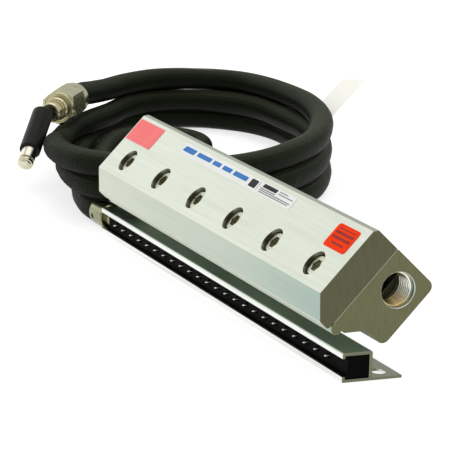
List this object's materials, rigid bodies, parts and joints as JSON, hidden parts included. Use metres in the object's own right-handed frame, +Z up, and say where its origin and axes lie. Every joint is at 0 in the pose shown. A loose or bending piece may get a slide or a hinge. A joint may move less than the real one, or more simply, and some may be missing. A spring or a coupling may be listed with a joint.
{
  "type": "compressed air knife",
  "caption": "Slotted air knife on an angled mount over a static eliminator bar, blowing a thin sheet of ionised air; coiled shielded cable with plug.",
  "frame": {"origin": "middle of the base, under the box of knife, bar and hub together, on the surface that the bar stands on", "axes": "+X along the knife towards its air inlet, +Y from the nozzle side to the back, +Z up"},
  "size_m": [0.4704, 0.1965, 0.0552],
  "materials": {
    "brushed_aluminium": "brushed, clear",
    "shim_steel": "bright",
    "screw_steel": "turned",
    "plug_steel": "turned",
    "pink_label": "matt",
    "red_label": "matt",
    "white_label": "matt",
    "channel_aluminium": "extruded",
    "black_insulator": "matt",
    "pin_steel": "polished",
    "bus_brass": "plain",
    "lead_insulation": "matt",
    "nickel_plate": "satin, slightly yellow",
    "dark_steel": "black oxide",
    "ribbed_hose": "fine ribs, satin",
    "sleeve_rubber": "smooth, satin",
    "contact_metal": "satin",
    "contact_gold": "polished",
    "tag_paper": "matt",
    "bracket_steel": "plain"
  },
  "bodies": {
    "root": {"knife_cap": "brushed_aluminium", "knife_body": "brushed_aluminium", "nozzle_shim": "shim_steel", "cap_screws": "screw_steel", "inlet_plug_left": "plug_steel", "inlet_plug_bottom": "plug_steel", "label_pink": "pink_label", "label_red": "red_label", "label_white": "white_label", "bar_channel": "channel_aluminium", "bar_insulator": "black_insulator", "emitter_pins": "pin_steel", "hv_bus": "bus_brass", "hv_lead": "lead_insulation", "cable_hub": "nickel_plate", "hub_set_screw": "dark_steel", "cable_hose": "ribbed_hose", "cable_ferrule": "nickel_plate", "gland_nut": "nickel_plate", "gland_collar": "nickel_plate", "gland_body": "nickel_plate", "plug_core": "black_insulator", "plug_sleeve": "sleeve_rubber", "contact_plug": "contact_metal", "contact_tip": "contact_gold", "cable_tag": "tag_paper", "bracket_left": "bracket_steel", "bracket_right": "bracket_steel", "bracket_studs": "screw_steel", "bracket_washers": "screw_steel", "bracket_nuts": "screw_steel", "knife_mount_screws": "screw_steel"}
  },
  "joints": []
}
